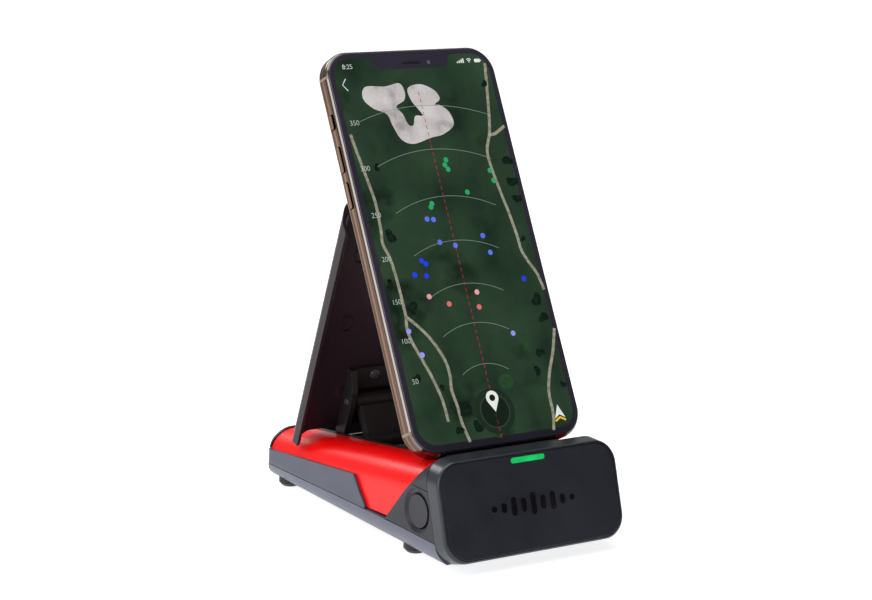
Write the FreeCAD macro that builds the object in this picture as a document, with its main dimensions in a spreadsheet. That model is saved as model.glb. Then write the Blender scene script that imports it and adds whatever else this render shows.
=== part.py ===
"""Golf launch monitor with a folding easel stand and a phone standing in its cradle.

Frame: +X to the user's right, the front face looks along -Y, +Z is up, millimetres.
The origin is on the ground, under the middle of the whole object.
"""
import FreeCAD, Part
import Sketcher
import math
import os

DIMENSIONS = [
    # alias, value, what it is
    ("casing_width", 81.0, "casing, side to side"),
    ("rear_face", 65.3, "rear face of the casing, along Y"),
    ("pan_base", 1.8, "underside of the casing above the ground"),
    ("pan_round", 9.0, "radius of the long lower corners"),
    ("casing_wall", 2.2, "wall of the casing shells"),
    ("deck_angle", 7.97, "slope of the deck, degrees"),
    ("deck_level", 25.6, "height of the deck at deck_level_place"),
    ("deck_level_place", 36.0, "Y where deck_level is taken"),
    ("deck_width", 78.6, "deck cover, side to side"),
    ("deck_round", 11.0, "radius of the deck's shoulders"),
    ("deck_wall", 2.0, "wall of the deck cover"),
    ("seam_rear", 8.3, "height of the pan's seam at the rear"),
    ("seam_front", 10.9, "height of the pan's seam at the front"),
    ("seam_gap", 0.3, "visible gap between casing pieces"),
    ("upper_seam", 29.0, "seam between the front and top housings"),
    ("trim_thick", 1.0, "thickness of the side trim band"),
    ("face_front", -65.0, "Y of the face plate's lower edge"),
    ("face_base", 6.0, "Z of the face plate's lower edge"),
    ("face_tilt", 18.0, "face plate leaning back, degrees"),
    ("face_width", 77.2, "face plate, side to side"),
    ("face_height", 35.1, "face plate, up its own slope"),
    ("face_round", 7.8, "corner radius of the face plate"),
    ("bezel_round", 9.0, "corner radius of the bezel"),
    ("bezel_rim", 1.5, "rounding of the bezel's outer front edge"),
    ("bezel_depth", 7.0, "bezel, front to parting plane"),
    ("bezel_top", 40.0, "flat top of the bezel"),
    ("ramp_angle", 24.6, "slope behind the bezel, degrees"),
    ("phone_front", -39.4, "Y of the phone's lower front edge"),
    ("phone_base", 38.1, "Z of the phone's lower front edge"),
    ("phone_tilt", 28.5, "phone leaning back, degrees"),
    ("phone_width", 77.4, "phone, side to side"),
    ("phone_height", 157.5, "phone, end to end"),
    ("phone_thick", 7.7, "phone, front to back"),
    ("phone_round", 11.0, "corner radius of the phone"),
    ("cradle_side", 26.5, "half width of the phone cradle"),
    ("pivot_y", 28.1, "Y of the strut's base pivot"),
    ("pivot_z", 23.8, "Z of the strut's base pivot"),
    ("link_length", 17.0, "strut pivot to pivot, and stand pivot to pivot"),
    ("fold_angle", 66.0, "strut angle above the track when open, degrees"),
    ("pin_radius", 1.25, "radius of the three hinge pins"),
    ("running_gap", 0.06, "radial clearance of a pin in its bore"),
    ("roller_radius", 1.7, "radius of the slide rollers"),
    ("well_half_width", 24.0, "hinge well, middle to outside"),
    ("well_depth", 5.2, "well floor below the track line"),
    ("stand_outer", 5.65, "stand's outer face above its pin plane"),
    ("stand_plate", 2.3, "thickness of the stand's plate"),
    ("stand_round", 3.0, "rounding of the stand's long outer edges"),
    ("stand_wall", 1.2, "thickness of the stand's side walls"),
    ("stand_wide", 40.3, "half width of the stand at its lower end"),
    ("stand_taper", 0.024, "narrowing of each side of the stand, per length"),
    ("stand_tip", 88.0, "upper pin to the stand's free end"),
    ("stand_tail", 18.5, "upper pin to the stand's lower tips"),
    ("button_y", -43.7, "Y of the power button and of the charging socket"),
    ("button_z", 19.9, "Z of the power button and of the charging socket"),
    ("button_radius", 6.15, "radius of the power button"),
    ("foot_radius", 4.5, "radius of a foot"),
    ("foot_edge", 1.3, "bevel round a foot's sole"),
    ("foot_side", 32.5, "foot centres from the middle"),
    ("foot_front", -32.0, "Y of the front feet"),
    ("foot_rear", 58.5, "Y of the rear feet"),
    ("post_side", 31.0, "case screw centres from the middle"),
    ("post_front", -18.0, "Y of the front case screws"),
    ("post_rear", 44.0, "Y of the rear case screws"),
    ("board_side", 23.0, "main board screw centres from the middle"),
    ("board_front", -34.0, "Y of the front board screws"),
    ("board_rear", 12.0, "Y of the rear board screws"),
    ("board_base", 7.0, "underside of the main board"),
    ("board_thick", 1.2, "thickness of the circuit boards"),
]

doc = FreeCAD.newDocument("launch_monitor")
sheet = doc.addObject("Spreadsheet::Sheet", "dims")


class Size:
    """A number with the sheet expression that gives it, so that features stay bound to the sheet."""

    def __init__(self, value, text):
        self.value = value
        self.text = text

    def combine(self, other, sign, value):
        return Size(value, "(" + self.text + " " + sign + " " + other.text + ")")

    def __add__(self, other):
        other = as_size(other)
        return self.combine(other, "+", self.value + other.value)

    def __sub__(self, other):
        other = as_size(other)
        return self.combine(other, "-", self.value - other.value)

    def __mul__(self, other):
        other = as_size(other)
        return self.combine(other, "*", self.value * other.value)

    def __truediv__(self, other):
        other = as_size(other)
        return self.combine(other, "/", self.value / other.value)

    def __radd__(self, other):
        return as_size(other) + self

    def __rsub__(self, other):
        return as_size(other) - self

    def __rmul__(self, other):
        return as_size(other) * self

    def __neg__(self):
        return as_size(0.0) - self


def as_size(number):
    if isinstance(number, Size):
        return number
    return Size(float(number), "(" + repr(float(number)) + ")")


def sine(angle):
    return Size(math.sin(math.radians(angle.value)), "sin(" + angle.text + ")")


def cosine(angle):
    return Size(math.cos(math.radians(angle.value)), "cos(" + angle.text + ")")


class Dims:
    """One attribute for each alias of the sheet."""


d = Dims()
for row, (alias, value, note) in enumerate(DIMENSIONS, start=1):
    sheet.set("A" + str(row), alias)
    sheet.set("B" + str(row), str(value))
    sheet.set("C" + str(row), note)
    sheet.setAlias("B" + str(row), alias)
    setattr(d, alias, Size(value, "dims." + alias))
doc.recompute()


# ---------------------------------------------------------------- building blocks

AXES_IN_PLANE = {"XY_Plane": (0, 1), "XZ_Plane": (0, 2), "YZ_Plane": (1, 2)}


def bind(feature, name, number):
    """Sets a property from the sheet."""
    feature.setExpression(name, as_size(number).text)


def origin_plane(body, role):
    for feature in body.Origin.OriginFeatures:
        if feature.Role == role:
            return feature
    raise ValueError(role)


def outline(body, role, points, offset):
    """Draws a closed outline with every corner bound to the sheet."""
    sketch = body.newObject("Sketcher::SketchObject", body.Name + "_outline")
    sketch.AttachmentSupport = [(origin_plane(body, role), "")]
    sketch.MapMode = "FlatFace"
    bind(sketch, "AttachmentOffset.Base.z", offset)
    count = len(points)
    corners = [FreeCAD.Vector(a.value, b.value, 0) for a, b in points]
    for index in range(count):
        sketch.addGeometry(Part.LineSegment(corners[index], corners[(index + 1) % count]), False)
    for index in range(count):
        sketch.addConstraint(Sketcher.Constraint("Coincident", index, 2, (index + 1) % count, 1))
    for index, (across, up) in enumerate(points):
        for kind, number in (("DistanceX", across), ("DistanceY", up)):
            place = sketch.addConstraint(Sketcher.Constraint(kind, -1, 1, index, 1, number.value))
            sketch.setExpression("Constraints[" + str(place) + "]", number.text)
    return sketch


def corner_edges(shape, role, corner):
    """Names the edges that stand on one corner of an outline."""
    first, second = AXES_IN_PLANE[role]
    names = []
    for index, edge in enumerate(shape.Edges, start=1):
        ends = [vertex.Point for vertex in edge.Vertexes]
        near = [abs(p[first] - corner[0].value) + abs(p[second] - corner[1].value) < 1e-4 for p in ends]
        if len(ends) == 2 and all(near):
            names.append("Edge" + str(index))
    return names


def prism(name, role, points, low, high, rounds=()):
    """Pads an outline between two places on the plane's axis, then rounds some of its corners.

    rounds holds (corner numbers, radius) pairs.
    """
    body = doc.addObject("PartDesign::Body", name)
    points = [(as_size(a), as_size(b)) for a, b in points]
    low = as_size(low)
    high = as_size(high)
    start = -high if role == "XZ_Plane" else low
    sketch = outline(body, role, points, start)
    pad = body.newObject("PartDesign::Pad", name + "_pad")
    pad.Profile = sketch
    bind(pad, "Length", high - low)
    sketch.Visibility = False
    doc.recompute()
    last = pad
    for number, (corners, radius) in enumerate(rounds):
        names = []
        for corner in corners:
            names += corner_edges(last.Shape, role, points[corner])
        fillet = body.newObject("PartDesign::Fillet", name + "_round" + str(number))
        fillet.Base = (last, names)
        bind(fillet, "Radius", radius)
        doc.recompute()
        last = fillet
    return body


def rectangle(low_a, high_a, low_b, high_b):
    return [(low_a, low_b), (high_a, low_b), (high_a, high_b), (low_a, high_b)]


def soften(body, keep, radius):
    """Rounds every edge of a body's last feature that the test keeps."""
    last = body.Tip
    names = ["Edge" + str(i) for i, edge in enumerate(last.Shape.Edges, start=1) if keep(edge)]
    fillet = body.newObject("PartDesign::Fillet", body.Name + "_soft")
    fillet.Base = (last, names)
    bind(fillet, "Radius", radius)
    doc.recompute()
    return body


def lies_at(axis, place):
    """Makes a test for edges that lie flat at one place on an axis."""
    def test(edge):
        box = edge.BoundBox
        low = (box.XMin, box.YMin, box.ZMin)[axis]
        high = (box.XMax, box.YMax, box.ZMax)[axis]
        return abs(low - place.value) < 1e-3 and abs(high - place.value) < 1e-3
    return test


def block(name, x, y, z):
    """A box between two places on each axis."""
    box = doc.addObject("Part::Box", name)
    for low_high, length, base in ((x, "Length", "x"), (y, "Width", "y"), (z, "Height", "z")):
        low = as_size(low_high[0])
        high = as_size(low_high[1])
        bind(box, length, high - low)
        bind(box, "Placement.Base." + base, low)
    return box


TURNS = {
    "x": FreeCAD.Rotation(FreeCAD.Vector(0, 1, 0), 90),
    "y": FreeCAD.Rotation(FreeCAD.Vector(1, 0, 0), -90),
    "z": FreeCAD.Rotation(),
}


def rod(name, axis, radius, low, high, across):
    """A cylinder along an axis, from low to high, with its centre at the other two coordinates."""
    low = as_size(low)
    cylinder = doc.addObject("Part::Cylinder", name)
    cylinder.Placement = FreeCAD.Placement(FreeCAD.Vector(), TURNS[axis])
    bind(cylinder, "Radius", radius)
    bind(cylinder, "Height", as_size(high) - low)
    others = [letter for letter in "xyz" if letter != axis]
    bind(cylinder, "Placement.Base." + axis, low)
    for letter, place in zip(others, across):
        bind(cylinder, "Placement.Base." + letter, place)
    return cylinder


def group(name, pieces):
    compound = doc.addObject("Part::Compound", name)
    compound.Links = list(pieces)
    return compound


def fuse(name, *pieces):
    union = doc.addObject("Part::MultiFuse", name)
    union.Shapes = list(pieces)
    union.Refine = True
    return union


def cut(name, base, *tools):
    tool = tools[0] if len(tools) == 1 else group(name + "_tools", tools)
    result = doc.addObject("Part::Cut", name)
    result.Base = base
    result.Tool = tool
    result.Refine = True
    return result


def common(name, first, second):
    result = doc.addObject("Part::Common", name)
    result.Base = first
    result.Tool = second
    result.Refine = True
    return result


def place(feature, frame):
    """Puts a piece built in a tilted frame where that frame is: (y, z, turn about X)."""
    y, z, turn = frame
    sign = 1 if turn.value > 0 else -1
    axis = FreeCAD.Vector(sign, 0, 0)
    feature.Placement = FreeCAD.Placement(FreeCAD.Vector(), FreeCAD.Rotation(axis, abs(turn.value)))
    bind(feature, "Placement.Base.y", y)
    bind(feature, "Placement.Base.z", z)
    bind(feature, "Placement.Rotation.Angle", turn * sign)
    return feature


parts = {}


def part(node, feature):
    """Names a finished sub-part."""
    feature.Label = node
    parts[node] = feature
    return feature


# ---------------------------------------------------------------- shared geometry

half = d.casing_width / 2
deck_half = d.deck_width / 2
slope = sine(d.deck_angle) / cosine(d.deck_angle)
big = as_size(150.0)

FACE = (d.face_front, d.face_base, 90 - d.face_tilt)
PHONE = (d.phone_front, d.phone_base, 90 - d.phone_tilt)
TRACK = (d.pivot_y, d.pivot_z, -d.deck_angle)
STRUT = (d.pivot_y, d.pivot_z, d.fold_angle - d.deck_angle)
upper_pin_y = d.pivot_y + d.link_length * cosine(d.fold_angle - d.deck_angle)
upper_pin_z = d.pivot_z + d.link_length * sine(d.fold_angle - d.deck_angle)
STAND = (upper_pin_y, upper_pin_z, -(d.deck_angle + d.fold_angle))


def face_point(up, out):
    """A point of the tilted face frame: up its slope and out along its normal."""
    y = d.face_front + up * sine(d.face_tilt) - out * cosine(d.face_tilt)
    z = d.face_base + up * cosine(d.face_tilt) + out * sine(d.face_tilt)
    return (y, z)


def phone_point(up, out):
    """A point of the phone's frame: up its length and out of its screen."""
    y = d.phone_front + up * sine(d.phone_tilt) - out * cosine(d.phone_tilt)
    z = d.phone_base + up * cosine(d.phone_tilt) + out * sine(d.phone_tilt)
    return (y, z)


def deck_height(y):
    return d.deck_level + (d.deck_level_place - y) * slope


def parting_y(z, behind=0.0):
    """The parting plane behind the bezel, parallel to the face."""
    y, base = face_point(as_size(0.0), -(d.bezel_depth + behind))
    return y + (z - base) * sine(d.face_tilt) / cosine(d.face_tilt)


def boundary_y(z):
    """The slanted line where the deck cover meets the front housings."""
    return -24.0 - 0.866 * (as_size(z) - 13.0)


deck_top_in_track = (deck_height(d.pivot_y) - d.pivot_z) * cosine(d.deck_angle)


# ---------------------------------------------------------------- casing

def side_outline(inset):
    """Side view of the lower casing: flat base, small rear chamfer, rising nose."""
    nose = parting_y(as_size(3.29), 0.15)
    return [
        (d.rear_face - 2.5, d.pan_base + inset),
        (d.rear_face - inset, d.pan_base + 2.7),
        (d.rear_face - inset, 48.0),
        (parting_y(as_size(48.0), 0.15), 48.0),
        (nose, 3.29 + inset),
        (-53.0, d.pan_base + inset),
    ]


def casing_envelope(name, inset, rear_round):
    """The lower casing as a solid, drawn in by inset on every side."""
    inset = as_size(inset)
    across = half - inset
    section = prism(
        name + "_section", "XZ_Plane",
        rectangle(-across, across, d.pan_base + inset, 60.0), -70.0, 70.0,
        [((0, 1), d.pan_round - inset)],
    )
    plan = prism(
        name + "_plan", "XY_Plane",
        rectangle(-across, across, -75.0, d.rear_face - inset), -5.0, 70.0,
        [((2, 3), rear_round)],
    )
    side = prism(name + "_side", "YZ_Plane", side_outline(inset), -half, half)
    return common(name, common(name + "_plan_cut", section, plan), side)


def tilted_box(name, frame, across, y, z, radius):
    """A box in a tilted frame with its two long upper edges rounded."""
    body = prism(name, "XZ_Plane", rectangle(-across, across, z[0], z[1]), y[0], y[1], [((2, 3), radius)])
    return place(body, frame)


casing_outer = casing_envelope("casing_outer", 0.0, 4.0)
casing_inner = casing_envelope("casing_inner", d.casing_wall, 2.5)
trim_inner = casing_envelope("trim_inner", d.trim_thick, 3.0)
casing_shell = cut("casing_shell", casing_outer, casing_inner)

corners_of_feet = [(x, y) for x in (-d.foot_side, d.foot_side) for y in (d.foot_front, d.foot_rear)]
corners_of_case = [(x, y) for x in (-d.post_side, d.post_side) for y in (d.post_front, d.post_rear)]
corners_of_board = [(x, y) for x in (-d.board_side, d.board_side) for y in (d.board_front, d.board_rear)]


def rods_at(name, places, radius, low, high):
    return [rod(name + str(i), "z", radius, low, high, at) for i, at in enumerate(places)]


def make_lower_pan():
    """Tray with foot sockets, board posts and counterbored screw holes."""
    below_seam = prism(
        "below_seam", "YZ_Plane",
        [(70.0, -5.0), (70.0, d.seam_rear), (-5.0, d.seam_front - 0.5), (-35.0, d.seam_front),
         (-70.0, d.seam_front), (-70.0, -5.0)],
        -half - 5, half + 5,
    )
    tray = common("pan_tray", casing_shell, below_seam)
    bosses = rods_at("foot_boss", corners_of_feet, d.foot_radius + 1.5, 2.0, 5.2)
    bosses += rods_at("case_boss", corners_of_case, 4.2, 2.0, 5.3)
    posts = rods_at("board_post", corners_of_board, 2.5, 3.0, d.board_base)
    inside = common("pan_bosses", group("pan_boss_group", bosses + posts), casing_outer)
    holes = rods_at("foot_hole", corners_of_feet, d.foot_radius + 0.1, 0.0, 4.0)
    holes += rods_at("case_counterbore", corners_of_case, 3.1, 0.0, 3.4)
    holes += rods_at("case_hole", corners_of_case, 1.7, 0.0, 9.0)
    holes += rods_at("board_hole", corners_of_board, 1.0, 4.6, 9.0)
    return part("lower_pan", cut("lower_pan", fuse("pan_solid", tray, inside), *holes))


def make_side_trim():
    """Grey band round both sides and the rear, with a slanted notch at its front end."""
    band = prism(
        "trim_band", "YZ_Plane",
        [(70.0, d.seam_rear + d.seam_gap), (70.0, 13.8), (0.0, 21.8), (-4.4, 16.3), (-8.6, 11.9),
         (-8.6, d.seam_front - 0.1), (-5.0, d.seam_front - 0.2)],
        -half - 5, half + 5,
    )
    shell = cut("trim_shell", casing_outer, trim_inner)
    return part("side_trim", common("side_trim", shell, band))


def cradle_outline(grow):
    """Side view of the phone cradle: ramp behind the bezel, tilted floor, low rear lip."""
    floor = -1.55 + grow
    return [
        (parting_y(d.bezel_top - 0.4, 0.3) - grow, d.bezel_top - 0.4 + grow),
        (-40.9, 37.2 + grow),
        phone_point(floor, -0.1),
        phone_point(floor, -d.phone_thick - 0.4),
        phone_point(0.2 + grow, -d.phone_thick - 0.4),
        phone_point(0.2 + grow, -d.phone_thick - 2.0 - grow),
        phone_point(-3.6 - grow, -d.phone_thick - 1.4 - grow),
        phone_point(-3.6 - grow, -0.6),
        (parting_y(as_size(36.6), 0.3) - grow, 36.6 - grow),
    ]


def cradle_pocket(name):
    """The cradle's own space, as a tool for cutting the shells."""
    across = d.cradle_side + 0.3
    return prism(name, "YZ_Plane", cradle_outline(as_size(0.25)), -across, across)


def phone_room(name):
    """The space that the phone and the cradle's pad need, as a tool for cutting the shells."""
    across = d.cradle_side + 0.3
    phone = phone_slab(name + "_phone", -0.35, -d.phone_thick - 0.4, 0.4)
    pad = block(name + "_pad", (-across, across), (-1.9, 2.0), (-d.phone_thick - 0.5, 0.2))
    return place(group(name, [fuse(name + "_both", phone, pad)]), PHONE)


def make_deck_cover():
    """Red deck with rounded shoulders, open over the hinge well, with four screw posts."""
    outer = tilted_box(
        "deck_outer", TRACK, deck_half, (-110.0, 60.0), (-45.0, deck_top_in_track), d.deck_round,
    )
    inner = tilted_box(
        "deck_inner", TRACK, deck_half - d.deck_wall, (-110.0, 60.0),
        (-46.0, deck_top_in_track - d.deck_wall), d.deck_round - d.deck_wall,
    )
    rear = d.rear_face - 1.5
    bounds = prism(
        "deck_bounds", "YZ_Plane",
        [(rear, d.seam_rear + 0.5), (rear, 50.0), (boundary_y(50.0), 50.0),
         (boundary_y(11.9), 11.9), (-5.0, d.seam_front - 0.1)],
        -half, half,
    )
    limits = common("deck_limits", bounds, casing_envelope("deck_limits_casing", half - deck_half, 3.0))
    inner_rear = block("deck_inner_rear", (-half, half), (-90.0, rear - d.deck_wall), (0.0, 60.0))
    hollow = common("deck_hollow", inner, inner_rear)
    solid = common("deck_solid", outer, limits)
    tall_posts = group("deck_post_group", rods_at("deck_post", corners_of_case, 3.0, 5.5, 60.0))
    posts = common("deck_posts", tall_posts, solid)
    shell = fuse("deck_with_posts", cut("deck_shell", solid, hollow), posts)
    across = d.well_half_width + 0.2
    opening = group("deck_opening", [block("opening_box", (-across, across), (-40.7, 60.0), (-9.0, 12.0))])
    place(opening, TRACK)
    pocket = cradle_pocket("cradle_pocket")
    holes = rods_at("deck_screw_hole", corners_of_case, 1.5, 5.0, 12.5)
    room = phone_room("deck_phone_room")
    return part("deck_cover", cut("deck_cover", shell, opening, pocket, room, *holes))


def make_rear_cap():
    """Thin black end piece whose rim follows the deck's shoulders."""
    top = deck_height(d.rear_face) + 0.6
    across = deck_half + 0.5
    section = prism(
        "rear_cap_section", "XZ_Plane", rectangle(-across, across, 4.0, top),
        d.rear_face - 1.2, d.rear_face, [((2, 3), d.deck_round + 0.5)],
    )
    plan = prism(
        "rear_cap_plan", "XY_Plane", rectangle(-half, half, 0.0, d.rear_face), 14.7, 50.0, [((2, 3), 4.0)],
    )
    return part("rear_cap", common("rear_cap", section, plan))


def make_front_housings():
    """Black shells ahead of the slanted boundary, split by the upper seam."""
    ramp = (parting_y(d.bezel_top, 0.15), d.bezel_top, -d.ramp_angle)
    ramp_outer = tilted_box("ramp_outer", ramp, half, (-30.0, 60.0), (-70.0, 0.0), d.bezel_round)
    ramp_inner = tilted_box(
        "ramp_inner", ramp, half - d.casing_wall, (-30.0, 60.0), (-71.0, -d.casing_wall),
        d.bezel_round - d.casing_wall,
    )
    outer = common("nose_outer", ramp_outer, casing_outer)
    inner = common("nose_inner", ramp_inner, casing_inner)
    shell = cut("nose_shell", outer, inner)
    low = d.seam_front + d.seam_gap
    upper = d.upper_seam - d.seam_gap / 2
    lower_zone = prism(
        "front_zone", "YZ_Plane",
        [(boundary_y(low) - 0.35, low), (boundary_y(upper) - 0.35, upper), (-75.0, upper), (-75.0, low)],
        -half - 5, half + 5,
    )
    above = d.upper_seam + d.seam_gap / 2
    upper_zone = prism(
        "top_zone", "YZ_Plane",
        [(boundary_y(above) - 0.35, above), (boundary_y(45.0) - 0.35, 45.0), (-75.0, 45.0), (-75.0, above)],
        -half - 5, half + 5,
    )
    beside = (d.button_y, d.button_z)
    button_hole = rod("button_hole", "x", d.button_radius + 2.15, -half - 2, -half + 6, beside)
    socket_hole = prism(
        "socket_hole", "YZ_Plane",
        rectangle(d.button_y - 4.8, d.button_y + 4.8, d.button_z - 1.9, d.button_z + 1.9),
        half - 5, half + 2, [((0, 1, 2, 3), 1.8)],
    )
    front = cut("front_housing", common("front_shell", shell, lower_zone), button_hole, socket_hole)
    pocket = cradle_pocket("top_pocket")
    part("front_housing", front)
    room = phone_room("top_phone_room")
    part("top_housing", cut("top_housing", common("top_shell", shell, upper_zone), pocket, room))


def make_cradle():
    """Black cradle that takes the phone's lower end, with a rubber pad on its floor."""
    bounds = tilted_box("cradle_bounds", TRACK, half, (-110.0, 0.0), (-45.0, deck_top_in_track + 2.6), 1.0)
    bar = prism("cradle_bar", "YZ_Plane", cradle_outline(as_size(0.0)), -d.cradle_side, d.cradle_side)
    part("phone_cradle", common("phone_cradle", bar, bounds))
    pad = prism(
        "cradle_pad", "YZ_Plane",
        [phone_point(-1.5, -0.2), phone_point(-1.5, -7.9), phone_point(-0.3, -7.9), phone_point(-0.3, -0.2)],
        1.5 - d.cradle_side, d.cradle_side - 1.5,
    )
    part("cradle_pad", pad)


def face_plate_outline(grow, low=0.0, high=0.0):
    across = d.face_width / 2 + grow
    return rectangle(-across, across, low - grow, d.face_height + high + grow)


def on_face_plane(edge):
    """True for an edge that lies in the plane of the face's front."""
    y = edge.CenterOfMass.y - d.face_front.value
    z = edge.CenterOfMass.z - d.face_base.value
    return abs(z * sine(d.face_tilt).value - y * cosine(d.face_tilt).value) < 1e-3


def make_front_face():
    """Bezel ring, face plate, and the light pipe that shows through it."""
    low_front = face_point(as_size(-1.0), as_size(0.0))
    low_rear = face_point(as_size(-1.0), -d.bezel_depth)
    rise = d.bezel_top - d.face_base
    top_front = (d.face_front + rise * sine(d.face_tilt) / cosine(d.face_tilt), d.bezel_top)
    top_rear = (parting_y(d.bezel_top), d.bezel_top)
    solid = prism("bezel_solid", "YZ_Plane", [low_front, low_rear, top_rear, top_front], -half, half)
    soften(solid, lambda edge: abs(abs(edge.CenterOfMass.x) - half.value) < 1e-3 and 6.0 < edge.Length < 9.0,
           d.bezel_round)
    soften(solid, on_face_plane, d.bezel_rim)
    recess = prism(
        "bezel_recess", "XY_Plane", face_plate_outline(0.15), -2.2, 3.0,
        [((0, 1, 2, 3), d.face_round + 0.15)],
    )
    window = prism(
        "bezel_window", "XY_Plane", face_plate_outline(-2.6), -12.0, 3.0,
        [((0, 1, 2, 3), d.face_round - 2.6)],
    )
    light_way = block("bezel_light_way", (-15.0, 15.0), (28.0, 34.9), (-12.0, 0.0))
    tools = [place(tool, FACE) for tool in (recess, window, group("bezel_light_slot", [light_way]))]
    part("front_bezel", cut("front_bezel", solid, *tools))
    plate = prism(
        "plate_solid", "XY_Plane", face_plate_outline(0.0), -2.0, 0.0, [((0, 1, 2, 3), d.face_round)],
    )
    soften(plate, lies_at(2, as_size(0.0)), 0.4)
    slot = prism(
        "plate_slot", "XY_Plane", rectangle(-7.65, 7.65, 32.15, 34.25), -3.0, 1.0, [((0, 1, 2, 3), 1.0)],
    )
    part("face_plate", place(cut("face_plate", plate, slot), FACE))
    pipe = prism(
        "light_pipe_bar", "XY_Plane", rectangle(-7.6, 7.6, 32.2, 34.2), -3.4, -0.05,
        [((0, 1, 2, 3), 0.95)],
    )
    flange = block("light_pipe_flange", (-9.0, 9.0), (30.4, 34.6), (-3.4, -2.25))
    part("light_pipe", place(fuse("light_pipe", pipe, flange), FACE))


def make_feet_and_screws():
    feet = []
    for index, (x, y) in enumerate(corners_of_feet):
        top = rod("foot_top" + str(index), "z", d.foot_radius, d.foot_edge, 4.0, (x, y))
        sole = doc.addObject("Part::Cone", "foot_sole" + str(index))
        bind(sole, "Radius1", d.foot_radius - d.foot_edge)
        bind(sole, "Radius2", d.foot_radius)
        bind(sole, "Height", d.foot_edge)
        bind(sole, "Placement.Base.x", x)
        bind(sole, "Placement.Base.y", y)
        feet.append(fuse("foot" + str(index), top, sole))
    part("feet", group("feet", feet))
    long_screws = screws("case_screw", corners_of_case, 3.4, 2.9, -1.4, 12.0, 1.5)
    part("case_screws", group("case_screws", long_screws))
    board_top = d.board_base + d.board_thick
    short_screws = screws("board_screw", corners_of_board, board_top, 1.9, 1.2, 5.0, 1.0)
    part("board_screws", group("board_screws", short_screws))


def screws(name, places, seat, head_radius, head_height, end, shank_radius):
    """Screws whose heads stand on seat, upwards or downwards, with a cross cut in each head."""
    seat = as_size(seat)
    rim = seat + head_height
    low = seat if head_height > 0 else rim
    high = rim if head_height > 0 else seat
    made = []
    for index, (x, y) in enumerate(places):
        head = rod(name + "_head" + str(index), "z", head_radius, low, high, (x, y))
        first = seat if head_height < 0 else as_size(end)
        last = as_size(end) if head_height < 0 else seat
        shank = rod(name + "_shank" + str(index), "z", shank_radius, first, last, (x, y))
        depth = 0.5 * head_height
        slot_low = rim - abs(depth) if head_height > 0 else rim
        slots = []
        for turn, (wide, deep) in enumerate(((0.62, 0.14), (0.14, 0.62))):
            reach_x = head_radius * wide
            reach_y = head_radius * deep
            slots.append(block(
                name + "_slot" + str(index) + str(turn),
                (x - reach_x, x + reach_x), (y - reach_y, y + reach_y),
                (slot_low, slot_low + abs(depth)),
            ))
        made.append(cut(name + str(index), fuse(name + "_solid" + str(index), head, shank), fuse(
            name + "_cross" + str(index), *slots)))
    return made


def make_power_button():
    """Button cap with a dished ring round it, and its switch on a small board."""
    centre = (d.button_y, d.button_z)
    ring_outer = rod("ring_outer", "x", d.button_radius + 2.05, -half, -half + 2.5, centre)
    ring_bore = rod("ring_bore", "x", d.button_radius + 0.25, -half - 1, -half + 3, centre)
    dish = doc.addObject("Part::Cone", "ring_dish")
    dish.Placement = FreeCAD.Placement(FreeCAD.Vector(), TURNS["x"])
    bind(dish, "Radius1", d.button_radius + 1.85)
    bind(dish, "Radius2", d.button_radius + 0.2)
    bind(dish, "Height", 1.1)
    bind(dish, "Placement.Base.x", -half - 0.01)
    bind(dish, "Placement.Base.y", d.button_y)
    bind(dish, "Placement.Base.z", d.button_z)
    part("button_ring", cut("button_ring", ring_outer, ring_bore, dish))
    cap = rod("button_cap", "x", d.button_radius, -half + 0.45, -half + 2.9, centre)
    flange = rod("button_flange", "x", d.button_radius + 1.0, -half + 2.8, -half + 3.5, centre)
    stem = rod("button_stem", "x", 2.0, -half + 3.4, -half + 6.5, centre)
    part("power_button", fuse("power_button", cap, flange, stem))
    part("button_switch", block(
        "button_switch", (-half + 7.3, -half + 11.0),
        (d.button_y - 3, d.button_y + 3), (d.button_z - 3, d.button_z + 3)))
    part("button_board", block(
        "button_board", (-half + 11.0, -half + 12.2),
        (d.button_y - 6, d.button_y + 6), (d.button_z - 8, d.button_z + 8)))


def make_charging_socket():
    """Metal socket shell with its tongue, on a small board behind the right side."""
    y, z = d.button_y, d.button_z
    shell = prism(
        "socket_shell", "YZ_Plane", rectangle(y - 4.5, y + 4.5, z - 1.6, z + 1.6), half - 7.5, half - 0.3,
        [((0, 1, 2, 3), 1.5)],
    )
    mouth = prism(
        "socket_mouth", "YZ_Plane", rectangle(y - 4.2, y + 4.2, z - 1.3, z + 1.3), half - 6.5, half + 1,
        [((0, 1, 2, 3), 1.2)],
    )
    tongue = block("socket_tongue", (half - 6.6, half - 1.5), (y - 3.3, y + 3.3), (z - 0.35, z + 0.35))
    part("charging_socket", fuse("charging_socket", cut("socket_hollow", shell, mouth), tongue))
    part("socket_board", block("socket_board", (half - 8.7, half - 7.5), (y - 7, y + 7), (z - 6, z + 6)))


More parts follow.
